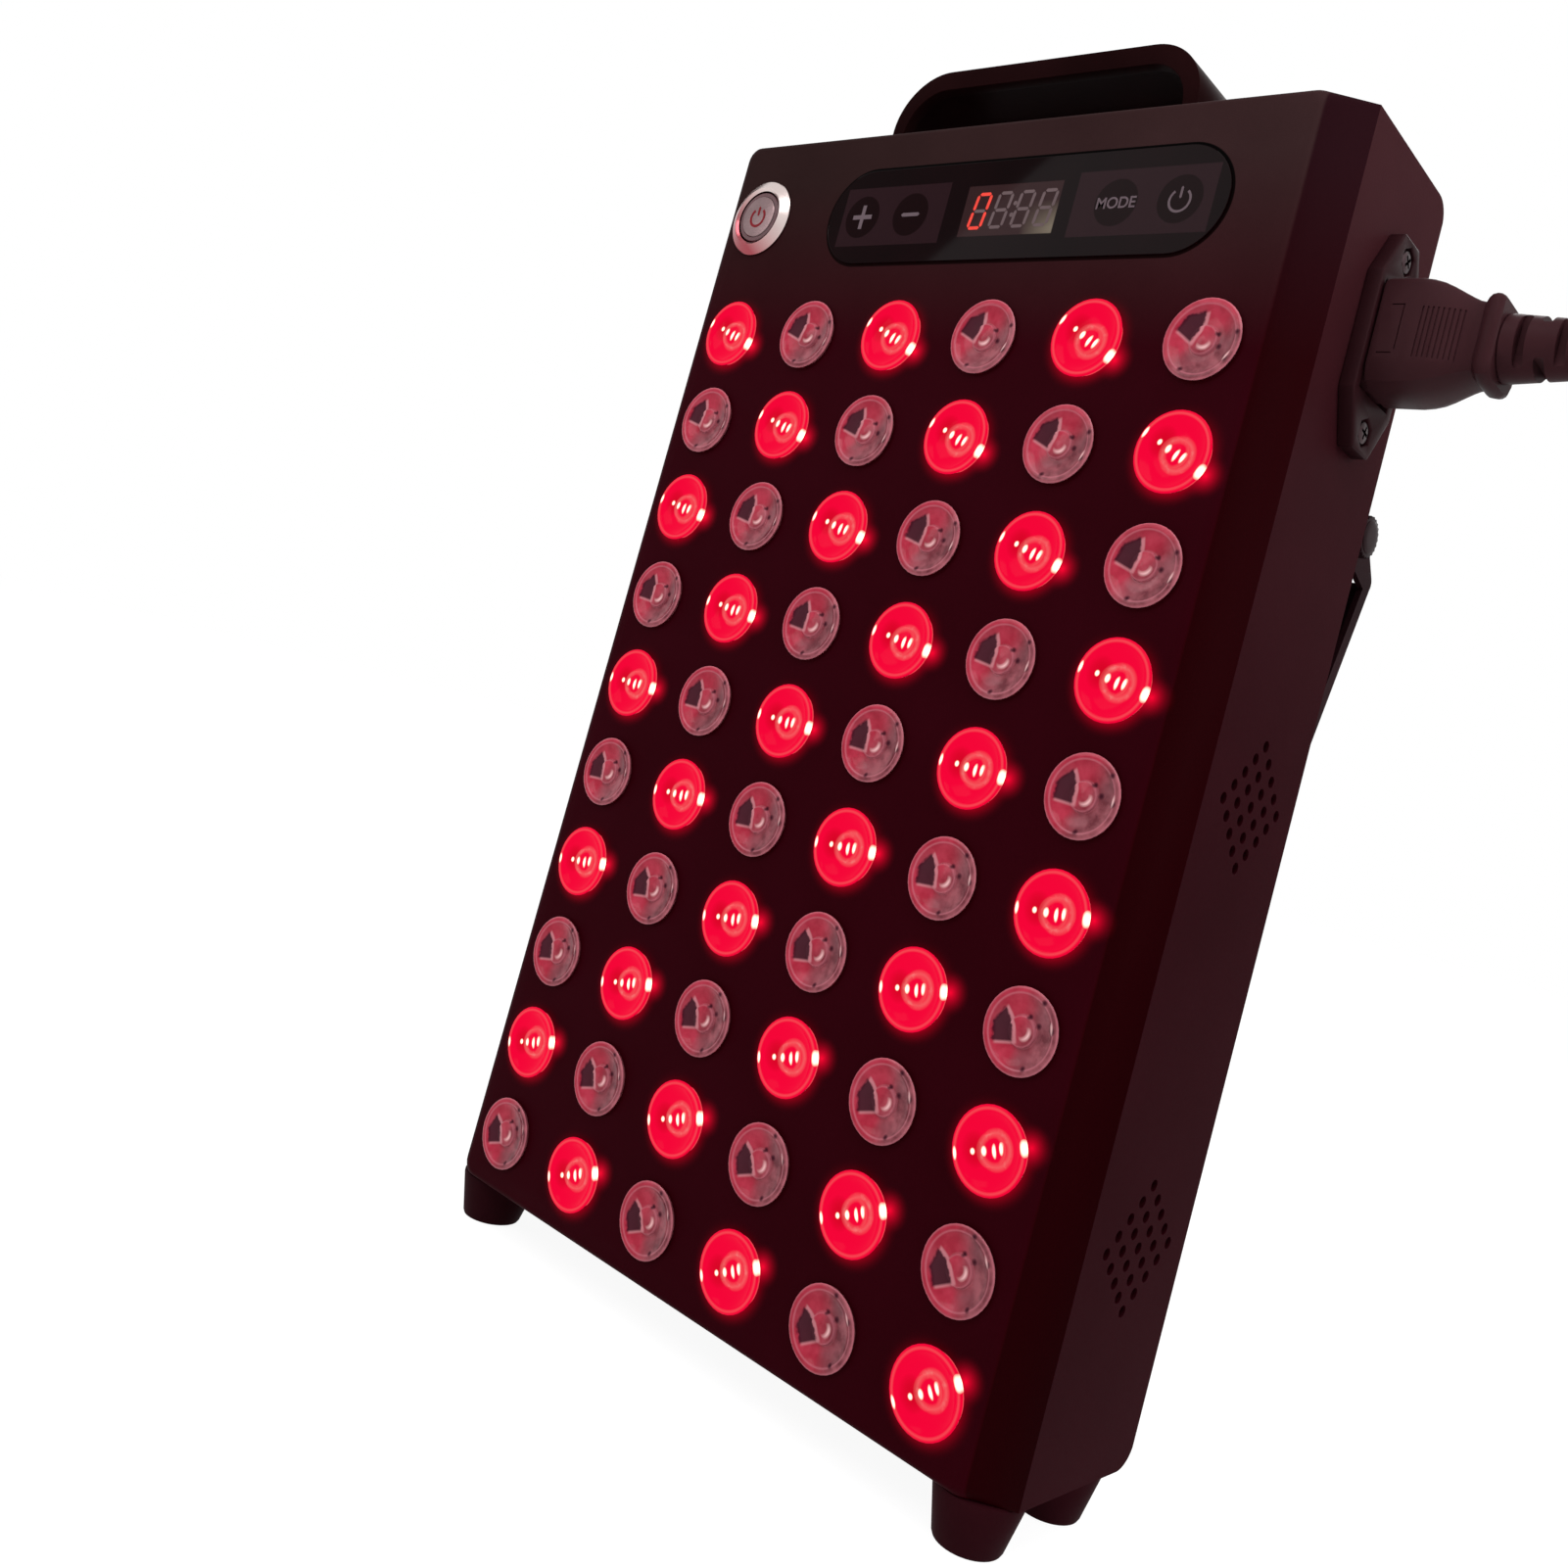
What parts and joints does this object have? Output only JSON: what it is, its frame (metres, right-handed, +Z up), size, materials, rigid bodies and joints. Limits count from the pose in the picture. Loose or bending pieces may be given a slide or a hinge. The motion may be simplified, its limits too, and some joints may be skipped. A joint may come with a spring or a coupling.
{
  "type": "red light therapy panel",
  "caption": "Upright lamp panel with a grid of round lenses, carrying handle, rear folding stand and a coiled mains lead.",
  "frame": {"origin": "bottom centre of the panel's box, on the surface that its feet stand on", "axes": "+X is the viewer's right, where the mains inlet is; the lenses face -Y; +Z is up"},
  "size_m": [0.395, 0.1165, 0.3384],
  "materials": {
    "casing_paint": "satin maroon-black powder coat",
    "moulded_black": "satin moulded plastic",
    "black_rubber": "matt rubber",
    "cord_jacket": "matt cord jacket",
    "screw_steel": "dark zinc steel",
    "knob_black": "satin ridged knob on a steel screw",
    "red_lens": "clear lens, lit red",
    "infrared_lens": "clear lens, unlit",
    "light_chip": "light chip with its phosphor",
    "board": "white solder mask",
    "bare_aluminium": "extruded and folded sheet",
    "overlay_gloss": "glossy black overlay",
    "display": "dark four digit display",
    "key_pad": "white sensing post",
    "button_steel": "turned steel",
    "contact_brass": "plated contacts"
  },
  "bodies": {
    "panel": {"board_standoffs": "screw_steel", "bracket_screws": "screw_steel", "button_bezel": "button_steel", "button_nut": "button_steel", "button_switch": "moulded_black", "connector_strain_relief": "cord_jacket", "control_board": "board", "control_overlay": "overlay_gloss", "cord_coil": "cord_jacket", "cord_lead": "cord_jacket", "cord_tie": "cord_jacket", "cover_screws": "screw_steel", "display_module": "display", "fan_screws": "screw_steel", "foot_screws": "screw_steel", "front_cover": "casing_paint", "front_left_foot": "black_rubber", "front_right_foot": "black_rubber", "handle": "moulded_black", "handle_screws": "screw_steel", "heat_sink": "bare_aluminium", "infrared_lenses": "infrared_lens", "inlet_housing": "moulded_black", "inlet_pins": "contact_brass", "inlet_screws": "screw_steel", "led_board": "board", "led_chips": "light_chip", "left_pivot_nut": "screw_steel", "left_stand_bracket": "casing_paint", "lower_fan_frame": "moulded_black", "mains_connector": "cord_jacket", "mains_plug": "cord_jacket", "plug_contacts": "contact_brass", "plug_strain_relief": "cord_jacket", "power_supply": "bare_aluminium", "rear_casing": "casing_paint", "rear_left_foot": "black_rubber", "rear_right_foot": "black_rubber", "red_lenses": "red_lens", "right_pivot_nut": "screw_steel", "right_stand_bracket": "casing_paint", "supply_screws": "screw_steel", "touch_key_pads": "key_pad", "upper_fan_frame": "moulded_black"},
    "stand": {"stand_frame": "casing_paint", "stand_pads": "black_rubber"},
    "left_thumb_screw": {"left_thumb_screw": "knob_black"},
    "right_thumb_screw": {"right_thumb_screw": "knob_black"},
    "power_button": {"button_cap": "button_steel"},
    "lower_fan": {"lower_fan_rotor": "moulded_black"},
    "upper_fan": {"upper_fan_rotor": "moulded_black"}
  },
  "joints": [
    {"name": "stand_fold", "type": "hinge", "parent": "panel", "child": "stand", "pos_m": [-0.0019, 0.02405, 0.2333], "axis": [1, 0, 0], "range_deg": [0, 60]},
    {"name": "left_thumb_screw_turn", "type": "hinge", "parent": "panel", "child": "left_thumb_screw", "pos_m": [-0.0019, 0.02405, 0.2333], "axis": [1, 0, 0], "continuous": true},
    {"name": "right_thumb_screw_turn", "type": "hinge", "parent": "panel", "child": "right_thumb_screw", "pos_m": [-0.0019, 0.02405, 0.2333], "axis": [1, 0, 0], "continuous": true},
    {"name": "power_button_press", "type": "slide", "parent": "panel", "child": "power_button", "axis": [0, 1, 0], "range_m": [0, 0.002], "stiffness_N_per_m": 400},
    {"name": "lower_fan_spin", "type": "hinge", "parent": "panel", "child": "lower_fan", "pos_m": [-0.0019, 0.00445, 0.0643], "axis": [0, 1, 0], "continuous": true},
    {"name": "upper_fan_spin", "type": "hinge", "parent": "panel", "child": "upper_fan", "pos_m": [-0.0019, 0.00445, 0.1625], "axis": [0, 1, 0], "continuous": true}
  ]
}
